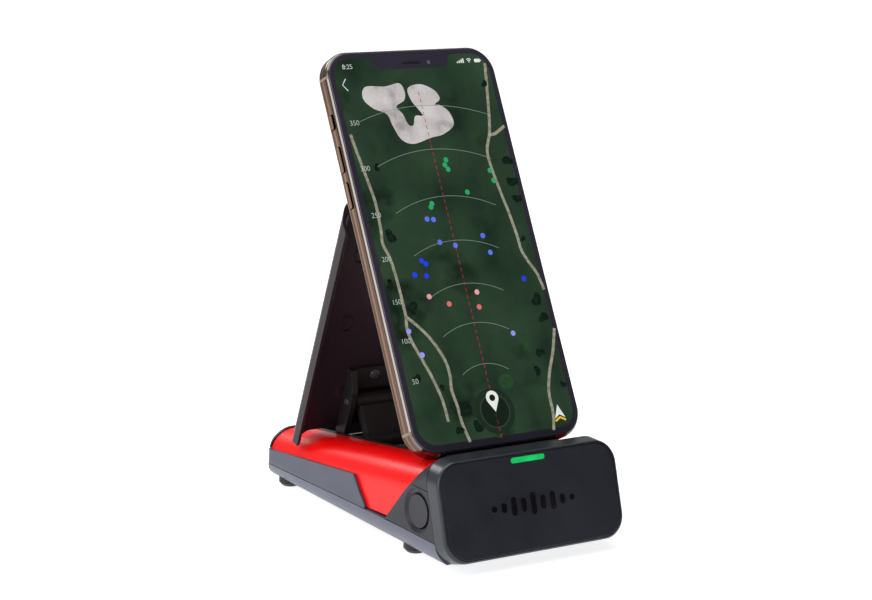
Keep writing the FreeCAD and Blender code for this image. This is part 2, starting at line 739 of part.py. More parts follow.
def make_electronics():
    """Main board with its parts, battery, and the tilted radar board behind the face."""
    base = d.board_base
    top = base + d.board_thick
    board = block("board_blank", (-27.0, 27.0), (-38.0, 16.0), (base, top))
    part("main_board", cut("main_board", board, *rods_at("board_clear", corners_of_board, 1.1, 5.0, 12.0)))
    part("shield_can", block("shield_can", (-16.0, 8.0), (-26.0, -4.0), (top, top + 2.4)))
    chips = [
        block("memory_chip", (11.5, 20.5), (-24.0, -14.0), (top, top + 1.1)),
        block("power_chip", (11.5, 17.5), (-9.0, -3.0), (top, top + 0.9)),
        block("charge_chip", (-12.0, -6.0), (1.0, 7.0), (top, top + 0.9)),
    ]
    part("board_chips", group("board_chips", chips))
    part("radio_module", block("radio_module", (0.0, 12.0), (2.0, 13.0), (top, top + 1.8)))
    part("battery_plug", block("battery_plug", (-22.0, -14.0), (3.0, 7.0), (top, top + 3.0)))
    cell = prism("battery", "XZ_Plane", rectangle(-25.0, 25.0, 4.8, 11.0), 20.0, 56.0, [((0, 1, 2, 3), 2.4)])
    part("battery", cell)
    part("battery_tape", block("battery_tape", (-20.0, 20.0), (24.0, 52.0), (4.0, 4.8)))
    radar = block("radar_blank", (-26.0, 26.0), (4.0, 29.0), (-16.2, -15.0))
    part("radar_board", place(group("radar_board", [radar]), FACE))
    patches = [
        block(
            "patch" + str(i) + str(j),
            (-17.0 + 12 * i, -8.0 + 12 * i), (7.0 + 11 * j, 15.0 + 11 * j), (-15.0, -14.6),
        )
        for i in range(3) for j in range(2)
    ]
    part("radar_patches", place(group("radar_patches", patches), FACE))
    led_board = block("led_board_blank", (-13.0, 13.0), (28.5, 34.6), (-5.6, -4.8))
    part("led_board", place(group("led_board", [led_board]), FACE))
    leds = [
        block("led" + str(i), (-5.8 + 4.8 * i, -3.8 + 4.8 * i), (32.2, 34.2), (-4.8, -3.9)) for i in range(3)
    ]
    part("status_leds", place(group("status_leds", leds), FACE))


# ---------------------------------------------------------------- folding stand

def make_hinge_well():
    """Open tray under the deck whose side walls carry the strut's pin and the slide's track."""
    inner = d.well_half_width - 2.5
    top = deck_top_in_track
    outer = block(
        "well_outer", (-d.well_half_width, d.well_half_width), (-40.5, 35.6), (-d.well_depth - 1.5, top),
    )
    hollow = block("well_hollow", (-inner, inner), (-39.0, 60.0), (-d.well_depth, 20.0))
    first = 2 * d.link_length * cosine(d.fold_angle) - d.roller_radius - 0.6
    reach = d.roller_radius + 0.3
    track = block("well_track", (-inner - 2.2, inner + 2.2), (first, 60.0), (-reach, reach))
    bore = rod("well_bore", "x", d.pin_radius, -inner - 2.2, inner + 2.2, (0.0, 0.0))
    part("hinge_well", place(cut("hinge_well", outer, hollow, track, bore), TRACK))
    pin = rod("strut_pin", "x", d.pin_radius, -inner - 2.1, inner + 2.1, (0.0, 0.0))
    part("strut_pin", place(group("strut_pin", [pin]), TRACK))


def make_strut():
    """Short wide link: plate, two side ribs that widen downwards, and a barrel at each end."""
    bore = d.pin_radius + d.running_gap
    plate = block("strut_plate", (-16.0, 16.0), (0.0, d.link_length), (-1.3, 1.3))
    ribs = []
    for side in (-1, 1):
        low, high = sorted((side * 16.0, side * 14.4))
        ribs.append(prism(
            "strut_rib" + str(side + 1), "YZ_Plane",
            [(0.0, -2.5), (d.link_length, -1.9), (d.link_length, 1.2), (0.0, 1.2)], low, high,
        ))
    ends = ((0.0, 0.0), (d.link_length, 0.0))
    barrels = [rod("strut_barrel" + str(i), "x", 3.0, -17.5, 17.5, end) for i, end in enumerate(ends)]
    bores = [rod("strut_bore" + str(i), "x", bore, -18.0, 18.0, end) for i, end in enumerate(ends)]
    solid = fuse("strut_solid", plate, *ribs, *barrels)
    part("strut", place(cut("strut", solid, *bores), STRUT))


def stand_outline(inset, reach):
    """Plan of the stand, which narrows towards its free end, drawn in at its sides and longer by reach."""
    low = -d.stand_tip - reach
    high = d.stand_tail + reach
    narrow = d.stand_wide - inset - (d.stand_tail - low) * d.stand_taper
    wide = d.stand_wide - inset + reach * d.stand_taper
    return [(-narrow, low), (narrow, low), (wide, high), (-wide, high)]


def stand_slab(name, inset, reach, top):
    """A tapered slab whose two long upper edges are rounded."""
    slab = prism(name, "XY_Plane", stand_outline(inset, reach), -20.0, top)
    on_top = lies_at(2, top)
    return soften(slab, lambda edge: on_top(edge) and abs(edge.CenterOfMass.x) > 20.0, d.stand_round - inset)


def make_stand_cover():
    """Easel cover: a shallow tapered channel whose free end is bevelled to clear the cradle when folded."""
    inner_z = d.stand_outer - d.stand_plate
    outer = stand_slab("stand_outer_solid", as_size(0.0), as_size(0.0), d.stand_outer)
    inner = stand_slab("stand_inner_solid", d.stand_wall, as_size(10.0), inner_z)
    flanks = prism(
        "stand_flanks", "YZ_Plane",
        [(d.stand_tail, -0.3), (-76.0, -1.0), (-78.7, 2.2), (-85.9, 4.95), (-d.stand_tip, 5.05),
         (-d.stand_tip, 7.0), (d.stand_tail, 7.0)],
        -half - 5, half + 5, [((0,), 2.5)],
    )
    plan = prism(
        "stand_plan", "XY_Plane", stand_outline(as_size(-1.0), as_size(0.0)), -20.0, 10.0,
        [((0, 1), 10.0), ((2, 3), 3.5)],
    )
    arch = prism(
        "stand_arch", "XY_Plane",
        [(-36.6, 13.2), (36.6, 13.2), (38.4, 20.0), (38.4, 25.0), (-38.4, 25.0), (-38.4, 20.0)], -20.0, 10.0,
        [((0, 1), 5.0)],
    )
    shell = common("stand_bounded", common("stand_shaped", cut("stand_shell", outer, inner), flanks), plan)
    grooves = []
    for index, (x, y) in enumerate(((-26.0, -34.0), (26.0, -34.0), (-26.0, -64.0), (26.0, -64.0))):
        ring = rod("groove_outer" + str(index), "z", 3.6, inner_z - 1, inner_z + 0.5, (x, y))
        core = rod("groove_core" + str(index), "z", 2.8, inner_z - 2, inner_z + 1, (x, y))
        grooves.append(cut("groove" + str(index), ring, core))
    part("stand_cover", place(cut("stand_cover", shell, arch, *grooves), STAND))


def make_stand_fittings():
    """Bracket with two cheeks, its screws, the pins and rollers, and the rubber lip at the free end."""
    inner_z = d.stand_outer - d.stand_plate
    link = d.link_length
    pin = d.pin_radius
    cheeks = []
    for side in (-1, 1):
        low, high = sorted((side * 18.5, side * 21.0))
        cheeks.append(prism(
            "bracket_cheek" + str(side + 1), "YZ_Plane",
            [(-13.4, inner_z), (-13.4, 0.6), (-5.0, -2.8), (2.0, -3.2), (link, -2.6), (link + 1.7, -1.4),
             (link + 1.7, 2.4), (13.0, inner_z)], low, high, [((5, 6), 1.0)],
        ))
    top = block("bracket_top", (-21.0, 21.0), (-13.4, -4.2), (inner_z - 1.5, inner_z))
    screw_places = [(x, as_size(-10.0)) for x in (as_size(-9.0), as_size(9.0))]
    holes = [rod("bracket_hole" + str(i), "z", 1.1, 0.0, inner_z, at) for i, at in enumerate(screw_places)]
    pin_places = ((0.0, 0.0), (link, 0.0))
    holes += [rod("bracket_pin_hole" + str(i), "x", pin, -30.0, 30.0, at) for i, at in enumerate(pin_places)]
    part("stand_bracket", place(cut("stand_bracket", fuse("bracket_solid", top, *cheeks), *holes), STAND))
    heads = []
    for index, at in enumerate(screw_places):
        shank = rod("bracket_shank" + str(index), "z", 1.1, inner_z - 1.5, inner_z, at)
        head = rod("bracket_head" + str(index), "z", 1.9, inner_z - 1.85, inner_z - 1.5, at)
        heads.append(fuse("bracket_screw" + str(index), shank, head))
    part("bracket_screws", place(group("bracket_screws", heads), STAND))
    upper = rod("upper_pin_rod", "x", pin, -21.2, 21.2, (0.0, 0.0))
    part("upper_pin", place(group("upper_pin", [upper]), STAND))
    lower = rod("slide_pin_rod", "x", pin, -23.3, 23.3, (link, 0.0))
    part("slide_pin", place(group("slide_pin", [lower]), STAND))
    rollers = []
    for side in (-1, 1):
        low, high = sorted((side * 21.7, side * 23.3))
        wheel = rod("roller_wheel" + str(side + 1), "x", d.roller_radius, low, high, (link, 0.0))
        bore = rod("roller_bore" + str(side + 1), "x", pin, low - 1, high + 1, (link, 0.0))
        rollers.append(cut("roller" + str(side + 1), wheel, bore))
    part("slide_rollers", place(group("slide_rollers", rollers), STAND))
    lip = block("rest_lip", (-27.0, 27.0), (-d.stand_tip - 1.3, -d.stand_tip), (5.05, d.stand_outer))
    part("rest_pad", place(group("rest_pad", [lip]), STAND))


# ---------------------------------------------------------------- phone

phone_half = d.phone_width / 2
phone_middle = -d.phone_thick / 2


def phone_slab(name, inset, low, high):
    """A rounded slab of the phone's outline, drawn in by inset."""
    outline_points = rectangle(-phone_half + inset, phone_half - inset, inset, d.phone_height - inset)
    return prism(name, "XY_Plane", outline_points, low, high, [((0, 1, 2, 3), d.phone_round - inset)])


KEYS = [
    # node, side, lower end, upper end, pocket length beyond each end
    ("phone_volume_down", -1, 97.0, 107.0, 0.25),
    ("phone_volume_up", -1, 111.0, 121.0, 0.25),
    ("phone_ring_switch", -1, 128.0, 133.5, 0.25),
    ("phone_side_key", 1, 104.0, 121.0, 0.25),
]


def key_solid(name, side, low, high, grow):
    """A side key, or with grow its pocket in the band."""
    inner, outer = (36.9 - 0.4 * (grow > 0), 39.2 + 2.0 * (grow > 0))
    start, end = sorted((side * inner, side * outer))
    slack = 1.0 if grow > 0 and name.startswith("phone_ring") else 0.0
    reach = 1.2 + grow
    return prism(
        name, "YZ_Plane",
        rectangle(
            low - grow, high + grow, phone_middle - reach - slack / 2, phone_middle + reach + slack / 2,
        ),
        start, end, [((0, 1, 2, 3), 1.0)],
    )


def make_phone_frame():
    """Metal band with its antenna breaks, openings and key pockets."""
    thick = d.phone_thick
    solid = phone_slab("band_solid", as_size(0.0), -thick, 0.0)
    soften(solid, lambda edge: lies_at(2, as_size(0.0))(edge) or lies_at(2, -thick)(edge), 2.2)
    hollow = phone_slab("band_hollow", as_size(2.5), -thick - 1, 1.0)
    front = phone_slab("band_front", as_size(0.8), -1.1, 1.0)
    back = phone_slab("band_back", as_size(0.8), -thick - 1, -thick + 1.1)
    pockets = [key_solid(name + "_pocket", side, low, high, gap) for name, side, low, high, gap in KEYS]
    port = prism(
        "band_port", "XZ_Plane", rectangle(-4.6, 4.6, phone_middle - 1.6, phone_middle + 1.6), -1.0, 4.0,
        [((0, 1, 2, 3), 1.5)],
    )
    holes = []
    for side in (-1, 1):
        for index in range(6):
            centre = (side * (13.0 + 2.2 * index), phone_middle)
            holes.append(rod("speaker_hole" + str(side + 1) + str(index), "y", 0.75, -1.0, 4.0, centre))
        holes.append(rod("end_screw_hole" + str(side + 1), "y", 0.9, -1.0, 4.0, (side * 7.6, phone_middle)))
    band = cut("band_open", cut("band_ring", solid, hollow, front, back), port, *pockets, *holes)
    breaks = []
    for index, (x, y) in enumerate((
            ((-45, -30), (9.4, 10.4)), ((30, 45), (9.4, 10.4)), ((-45, -30), (147.2, 148.2)),
            ((30, 45), (147.2, 148.2)), ((-28.6, -27.6), (-3, 5)), ((27.6, 28.6), (152.5, 160)))):
        breaks.append(block("antenna_break" + str(index), x, y, (-thick - 1, 1.0)))
    slots = fuse("antenna_slots", *breaks)
    part("phone_frame", place(cut("phone_frame", band, slots), PHONE))
    part("phone_antenna_lines", place(common("phone_antenna_lines", band, slots), PHONE))


def make_phone_inside():
    """Glass faces, display, cells and boards, each inside the band."""
    thick = d.phone_thick
    glass = phone_slab("phone_front_glass", as_size(0.9), -1.05, 0.0)
    soften(glass, lies_at(2, as_size(0.0)), 0.5)
    part("phone_front_glass", place(glass, PHONE))
    part("phone_display", place(phone_slab("phone_display", as_size(2.7), -1.9, -1.1), PHONE))
    back = phone_slab("back_slab", as_size(0.9), -thick, -thick + 1.05)
    soften(back, lies_at(2, -thick), 0.5)
    part("phone_back_glass", place(back, PHONE))
    island = prism(
        "island_slab", "XY_Plane", rectangle(15.0, 35.0, 116.0, 151.0), -thick - 1.2, -thick,
        [((0, 1, 2, 3), 7.0)],
    )
    soften(island, lies_at(2, -thick - 1.2), 0.5)
    eyes = [(25.0, 142.0, 5.4), (25.0, 126.0, 5.4)]
    sockets = [
        rod("lens_socket" + str(i), "z", r, -thick - 2, -thick - 0.4, (x, y))
        for i, (x, y, r) in enumerate(eyes)
    ]
    part("phone_camera_island", place(cut("phone_camera_island", island, *sockets), PHONE))
    lenses = []
    for index, (x, y, radius) in enumerate(eyes):
        rim = rod("lens_rim" + str(index), "z", radius - 0.05, -thick - 1.7, -thick - 0.4, (x, y))
        eye = rod("lens_eye" + str(index), "z", radius - 1.3, -thick - 2.5, -thick - 1.4, (x, y))
        lenses.append(cut("lens" + str(index), rim, eye))
    part("phone_lens_rings", place(group("phone_lens_rings", lenses), PHONE))
    part("phone_battery", place(group("phone_battery", [
        block("phone_cell", (-12.0, 34.0), (22.0, 112.0), (-6.0, -2.4))]), PHONE))
    part("phone_board", place(group("phone_board", [
        block("phone_board_blank", (-34.0, -15.0), (30.0, 150.0), (-5.0, -4.0))]), PHONE))
    port = prism(
        "phone_port_shell", "XZ_Plane",
        rectangle(-4.4, 4.4, phone_middle - 1.4, phone_middle + 1.4), 0.4, 8.0,
        [((0, 1, 2, 3), 1.3)],
    )
    mouth = prism(
        "phone_port_mouth", "XZ_Plane",
        rectangle(-4.1, 4.1, phone_middle - 1.1, phone_middle + 1.1), -1.0, 7.0,
        [((0, 1, 2, 3), 1.0)],
    )
    part("phone_port", place(cut("phone_port", port, mouth), PHONE))
    part("phone_end_screws", place(group("phone_end_screws", [
        rod("phone_end_screw" + str(side + 1), "y", 0.85, 0.3, 3.5, (side * 7.6, phone_middle))
        for side in (-1, 1)]),
        PHONE))


def make_phone_keys():
    for name, side, low, high, _ in KEYS:
        part(name, place(group(name, [key_solid(name + "_cap", side, low, high, 0.0)]), PHONE))


make_lower_pan()
make_side_trim()
make_deck_cover()
make_rear_cap()
make_front_housings()
make_cradle()
make_front_face()
make_feet_and_screws()
make_power_button()
make_charging_socket()
make_electronics()
make_hinge_well()
make_strut()
make_stand_cover()
make_stand_fittings()
make_phone_frame()
make_phone_inside()
make_phone_keys()
doc.recompute()

# ---------------------------------------------------------------- checks and files

broken = [item.Label for item in doc.Objects if "Invalid" in item.State or "Error" in item.State]
for node, feature in parts.items():
    shape = feature.Shape
    if shape.isNull() or not shape.isValid() or not shape.Solids:
        broken.append(node)
if broken:
    raise RuntimeError("failed: " + ", ".join(broken))

os.makedirs("parts", exist_ok=True)
for node, feature in parts.items():
    feature.Shape.exportStep("parts/" + node + ".step")
whole = Part.makeCompound([feature.Shape for feature in parts.values()]).BoundBox
print("box", [round(v, 3) for v in (whole.XMin, whole.XMax, whole.YMin, whole.YMax, whole.ZMin, whole.ZMax)])
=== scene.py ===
"""Golf launch monitor: materials, the lit range map on the phone's screen, studio and camera."""
import math
import bmesh
import bpy
from mathutils import Matrix, Vector


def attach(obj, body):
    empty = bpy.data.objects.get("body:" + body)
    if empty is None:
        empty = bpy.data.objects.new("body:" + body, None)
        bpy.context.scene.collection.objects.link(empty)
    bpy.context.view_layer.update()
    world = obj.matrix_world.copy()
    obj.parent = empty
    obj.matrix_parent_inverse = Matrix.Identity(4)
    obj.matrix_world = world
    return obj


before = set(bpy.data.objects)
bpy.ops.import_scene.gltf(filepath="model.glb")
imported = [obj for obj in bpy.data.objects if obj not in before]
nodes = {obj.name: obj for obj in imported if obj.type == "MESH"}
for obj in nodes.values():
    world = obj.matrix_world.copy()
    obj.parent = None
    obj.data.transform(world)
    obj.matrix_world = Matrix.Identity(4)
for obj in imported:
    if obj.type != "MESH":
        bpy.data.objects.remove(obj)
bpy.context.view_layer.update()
scene = bpy.context.scene
MM = 0.001

# ---------------------------------------------------------------- camera

CAMERA_PLACE = Vector((-518.7, -743.5, 296.0)) * MM
CAMERA_AZIMUTH = math.radians(-34.58)
CAMERA_ELEVATION = math.radians(13.10)
CAMERA_ROLL = math.radians(2.58)
CAMERA_LENS = 101.2          # mm, with the sensor width below
CAMERA_SENSOR = 36.0         # mm
CAMERA_NEAREST = 0.01        # m


def make_camera():
    """Looks at the front left corner from slightly above, rolled a little."""
    a, e = CAMERA_AZIMUTH, CAMERA_ELEVATION
    back = Vector((math.sin(a) * math.cos(e), -math.cos(a) * math.cos(e), math.sin(e)))
    level = Vector((math.cos(a), math.sin(a), 0.0))
    upright = back.cross(level)
    right = math.cos(CAMERA_ROLL) * level + math.sin(CAMERA_ROLL) * upright
    up = -math.sin(CAMERA_ROLL) * level + math.cos(CAMERA_ROLL) * upright
    data = bpy.data.cameras.new("camera")
    data.lens = CAMERA_LENS
    data.sensor_width = CAMERA_SENSOR
    data.clip_start = CAMERA_NEAREST
    camera = bpy.data.objects.new("camera", data)
    turn = Matrix((right, up, back)).transposed().to_4x4()
    camera.matrix_world = Matrix.Translation(CAMERA_PLACE) @ turn
    scene.collection.objects.link(camera)
    scene.camera = camera


# ---------------------------------------------------------------- phone plane

# middle of the phone's lower edge on its front glass, and the phone's lean from upright
PHONE_FOOT = Vector((0.0, -39.4, 38.1)) * MM
PHONE_TILT = math.radians(28.5)
PHONE_THICK = 7.7            # mm


def leaning_plane(foot, tilt):
    """Places a frame, x to the right, y up the surface and z out of it, on a surface that leans back."""
    up = Vector((0.0, math.sin(tilt), math.cos(tilt)))
    out = Vector((0.0, -math.cos(tilt), math.sin(tilt)))
    axes = Matrix((Vector((1.0, 0.0, 0.0)), up, out)).transposed().to_4x4()
    return Matrix.Translation(foot) @ axes


PHONE_PLACE = leaning_plane(PHONE_FOOT, PHONE_TILT)
PHONE_OUT = PHONE_PLACE.col[2].xyz


# ---------------------------------------------------------------- materials

def tint(colour, factor):
    """The colour made lighter or darker."""
    return tuple(min(1.0, channel * factor) for channel in colour)


class Shade:
    """A node material under construction, with its Principled shader."""

    def __init__(self, name):
        self.material = bpy.data.materials.new(name)
        self.material.use_nodes = True
        self.tree = self.material.node_tree
        self.shader = self.tree.nodes["Principled BSDF"]
        self.coords = self.tree.nodes.new("ShaderNodeTexCoord").outputs["Object"]

    def set(self, **values):
        """Gives the shader's own sockets constant values."""
        for name, value in values.items():
            self.shader.inputs[name.replace("_", " ")].default_value = value

    def node(self, kind, **inputs):
        made = self.tree.nodes.new("ShaderNode" + kind)
        for name, value in inputs.items():
            made.inputs[name.replace("_", " ")].default_value = value
        return made

    def link(self, source, target):
        self.tree.links.new(source, target)

    def drive(self, name, source):
        """Lets another node's output decide one of the shader's inputs."""
        self.link(source, self.shader.inputs[name])

    def stretched(self, scale):
        """Object coordinates, stretched along each axis."""
        mapping = self.node("Mapping")
        mapping.inputs["Scale"].default_value = scale
        self.link(self.coords, mapping.inputs["Vector"])
        return mapping.outputs["Vector"]

    def noise(self, per_metre, detail=3.0, vector=None):
        made = self.node("TexNoise", Scale=per_metre, Detail=detail)
        self.link(vector or self.coords, made.inputs["Vector"])
        return made.outputs["Fac"]

    def ramp(self, factor, stops):
        made = self.node("ValToRGB")
        elements = made.color_ramp.elements
        while len(elements) < len(stops):
            elements.new(0.5)
        for element, (place, colour) in zip(elements, stops):
            element.position = place
            element.color = tuple(colour) + (1.0,)
        self.link(factor, made.inputs["Fac"])
        return made.outputs["Color"]

    def drift(self, factor, colour, low, high):
        """The colour times low to high, over a noise's middle range."""
        return self.ramp(factor, [(0.3, tint(colour, low)), (0.7, tint(colour, high))])

    def mix(self, factor, first, second, blend="MIX"):
        """Blends numbers, colours or other nodes' outputs."""
        made = self.node("Mix")
        made.data_type = "RGBA"
        made.blend_type = blend
        for value, place in ((factor, 0), (first, 6), (second, 7)):
            socket = made.inputs[place]
            if isinstance(value, (int, float)):
                socket.default_value = value
            elif isinstance(value, tuple):
                socket.default_value = value + (1.0,)
            else:
                self.link(value, socket)
        return made.outputs[2]

    def spread(self, factor, low, high, first=0.3, last=0.7):
        """Maps a noise's middle range onto low..high."""
        made = self.node("MapRange", From_Min=first, From_Max=last, To_Min=low, To_Max=high)
        self.link(factor, made.inputs["Value"])
        return made.outputs["Result"]

    def bump(self, height, strength, depth, edge=0.0):
        """Raises the surface by a texture, and softens hard edges by an edge radius."""
        made = self.node("Bump", Strength=strength, Distance=depth)
        self.link(height, made.inputs["Height"])
        if edge:
            bevel = self.node("Bevel", Radius=edge)
            bevel.samples = 4
            self.link(bevel.outputs["Normal"], made.inputs["Normal"])
        self.drive("Normal", made.outputs["Normal"])


DUST = (0.45, 0.45, 0.46)
DUST_MOST = 0.035            # share of dust colour in the dustiest specks
MOULDED_EDGE = 0.25 * MM
MACHINED_EDGE = 0.12 * MM
RUBBER_EDGE = 0.3 * MM


def plastic(name, colour, rough, grain=2600.0, relief=0.35, vary=0.12, shine=0.5):
    """Moulded plastic: fine spark-eroded grain, slight colour drift, handling smudges and a little dust."""
    shade = Shade(name)
    colour_out = shade.drift(shade.noise(35.0, 2.0), colour, 1 - vary, 1 + vary)
    dust = shade.spread(shade.noise(700.0, 4.0), 0.0, DUST_MOST, 0.64, 0.82)
    colour_out = shade.mix(dust, colour_out, DUST)
    shade.drive("Base Color", colour_out)
    smudge = shade.spread(shade.noise(90.0, 5.0), rough * 0.88, rough * 1.14)
    shade.drive("Roughness", smudge)
    shade.set(IOR=1.47, Specular_IOR_Level=shine)
    shade.bump(shade.noise(grain, 4.0), relief, 0.02 * MM, MOULDED_EDGE)
    return shade.material


def metal(name, colour, rough, brushed=(1.0, 1.0, 1.0), relief=0.1):
    """Metal with drawn or brushed lines along the least stretched axis."""
    shade = Shade(name)
    lines = shade.noise(900.0, 3.0, shade.stretched(brushed))
    shade.drive("Base Color", shade.drift(lines, colour, 0.9, 1.06))
    shade.drive("Roughness", shade.spread(lines, rough * 0.8, rough * 1.3))
    shade.set(Metallic=1.0)
    shade.bump(lines, relief, 0.01 * MM, MACHINED_EDGE)
    return shade.material


def polished_band_painted_reflections(name):
    """Plated gold steel band with painted reflections across its depth: bronze on its flat, paler where it
    rolls over to the front and the back.
    """
    shade = Shade(name)
    depth = shade.node("VectorMath")
    depth.operation = "DOT_PRODUCT"
    shade.link(shade.coords, depth.inputs[0])
    depth.inputs[1].default_value = PHONE_OUT
    front = PHONE_FOOT.dot(PHONE_OUT)
    across = shade.spread(depth.outputs["Value"], 0.0, 1.0, front - PHONE_THICK * MM, front)
    # painted reflections across the band, from the phone's back, at 0, to its front, at 1
    painted_reflection_bands = shade.ramp(across, [
        (0.00, (0.60, 0.42, 0.30)), (0.11, (0.56, 0.37, 0.26)), (0.19, (0.085, 0.044, 0.029)),
        (0.40, (0.075, 0.038, 0.025)), (0.52, (0.26, 0.155, 0.100)), (0.64, (0.080, 0.042, 0.028)),
        (0.76, (0.120, 0.080, 0.060)), (0.86, (0.180, 0.165, 0.155)), (1.00, (0.210, 0.195, 0.185)),
    ])
    lines = shade.noise(900.0, 3.0)
    colour_out = shade.mix(shade.spread(lines, 0.0, 0.2), painted_reflection_bands, (0.16, 0.11, 0.08))
    shade.drive("Base Color", colour_out)
    shade.drive("Roughness", shade.spread(lines, 0.11, 0.17))
    shade.set(Metallic=1.0)
    shade.bump(lines, 0.02, 0.01 * MM, MACHINED_EDGE)
    return shade.material


def rubber(name, colour):
    """Dull rubber or foam, mottled, with a fine sandy relief."""
    shade = Shade(name)
    mottled = shade.noise(400.0, 5.0)
    colour_out = shade.ramp(mottled, [(0.3, tint(colour, 0.7)), (0.75, tint(colour, 1.5))])
    shade.drive("Base Color", colour_out)
    shade.drive("Roughness", shade.spread(mottled, 0.72, 0.9))
    shade.set(Sheen_Weight=0.15, Sheen_Roughness=0.5)
    shade.bump(shade.noise(3500.0, 3.0), 0.5, 0.03 * MM, RUBBER_EDGE)
    return shade.material


def board(name):
    """Green solder mask with copper tracks under it."""
    shade = Shade(name)
    cells = shade.node("TexVoronoi", Scale=420.0)
    cells.distance = "MANHATTAN"
    cells.feature = "DISTANCE_TO_EDGE"
    shade.link(shade.coords, cells.inputs["Vector"])
    stops = [(0.04, (0.02, 0.16, 0.06)), (0.09, (0.008, 0.07, 0.03))]
    tracks = shade.ramp(cells.outputs["Distance"], stops)
    shade.drive("Base Color", tracks)
    shade.set(Roughness=0.35, Coat_Weight=0.4, Coat_Roughness=0.2)
    shade.bump(cells.outputs["Distance"], 0.2, 0.02 * MM)
    return shade.material


def gloss(name, colour, rough=0.06, coat=0.6):
    """Polished glass or lacquer over a colour, with faint finger marks."""
    shade = Shade(name)
    shade.drive("Base Color", shade.drift(shade.noise(20.0, 2.0), colour, 0.9, 1.1))
    marks = shade.spread(shade.noise(60.0, 6.0), rough * 0.7, rough * 1.8)
    shade.drive("Roughness", marks)
    shade.set(Coat_Weight=coat, Coat_Roughness=0.04, IOR=1.5)
    return shade.material


def lamp(name, colour, strength):
    """Lit, slightly milky light pipe, uneven along its length."""
    shade = Shade(name)
    glow = shade.drift(shade.noise(300.0, 2.0), colour, 0.7, 1.0)
    shade.drive("Base Color", glow)
    shade.drive("Emission Color", glow)
    shade.set(Emission_Strength=strength, Roughness=0.3)
    return shade.material


def glow_under_glass(shade, colour_out, strength=1.0):
    """Colour comes only from the lit panel: the surface over it is black glass."""
    stops = [(0.3, (0.0015, 0.002, 0.002)), (0.7, (0.003, 0.004, 0.004))]
    shade.drive("Base Color", shade.ramp(shade.noise(40.0, 2.0), stops))
    shade.drive("Emission Color", colour_out)
    shade.set(Emission_Strength=strength, Roughness=0.08, Specular_IOR_Level=0.25)
    return shade.material


def lit(name, colour, vary=0.08, grain=300.0):
    """Something drawn on the lit screen, under its glass."""
    shade = Shade(name)
    return glow_under_glass(shade, shade.drift(shade.noise(grain, 4.0), colour, 1 - vary, 1 + vary))


def sand_from_above():
    """Raked sand, darker in soft hollows."""
    shade = Shade("screen_sand")
    hollows = shade.ramp(
        shade.noise(110.0, 3.0),
        [(0.32, (0.36, 0.33, 0.33)), (0.46, (0.56, 0.52, 0.52)), (0.66, (0.66, 0.63, 0.62))],
    )
    grains = shade.ramp(shade.noise(1800.0, 2.0), [(0.3, (0.85, 0.85, 0.85)), (0.7, (1.0, 1.0, 1.0))])
    return glow_under_glass(shade, shade.mix(1.0, hollows, grains, "MULTIPLY"))


def turf():
    """Aerial view of rough, mown fairway and tree crowns."""
    shade = Shade("screen_turf")
    grass = shade.ramp(
        shade.noise(42.0, 6.0),
        [(0.28, (0.010, 0.022, 0.014)), (0.48, (0.021, 0.044, 0.025)), (0.74, (0.034, 0.067, 0.035))],
    )
    crowns = shade.node("TexVoronoi", Scale=230.0, Randomness=1.0)
    shade.link(shade.coords, crowns.inputs["Vector"])
    leaf = shade.ramp(
        crowns.outputs["Distance"],
        [(0.1, (0.014, 0.028, 0.014)), (0.6, (0.003, 0.009, 0.005))],
    )
    woods = shade.spread(shade.noise(36.0, 4.0), 0.0, 0.9, 0.56, 0.66)
    colour_out = shade.mix(woods, grass, leaf)
    mown = shade.node("TexWave", Scale=22.0, Distortion=2.5)
    shade.link(shade.coords, mown.inputs["Vector"])
    stripes = shade.spread(mown.outputs["Fac"], 0.0, 0.14, 0.2, 0.8)
    colour_out = shade.mix(stripes, colour_out, (0.030, 0.075, 0.028))
    return glow_under_glass(shade, colour_out, 0.9)


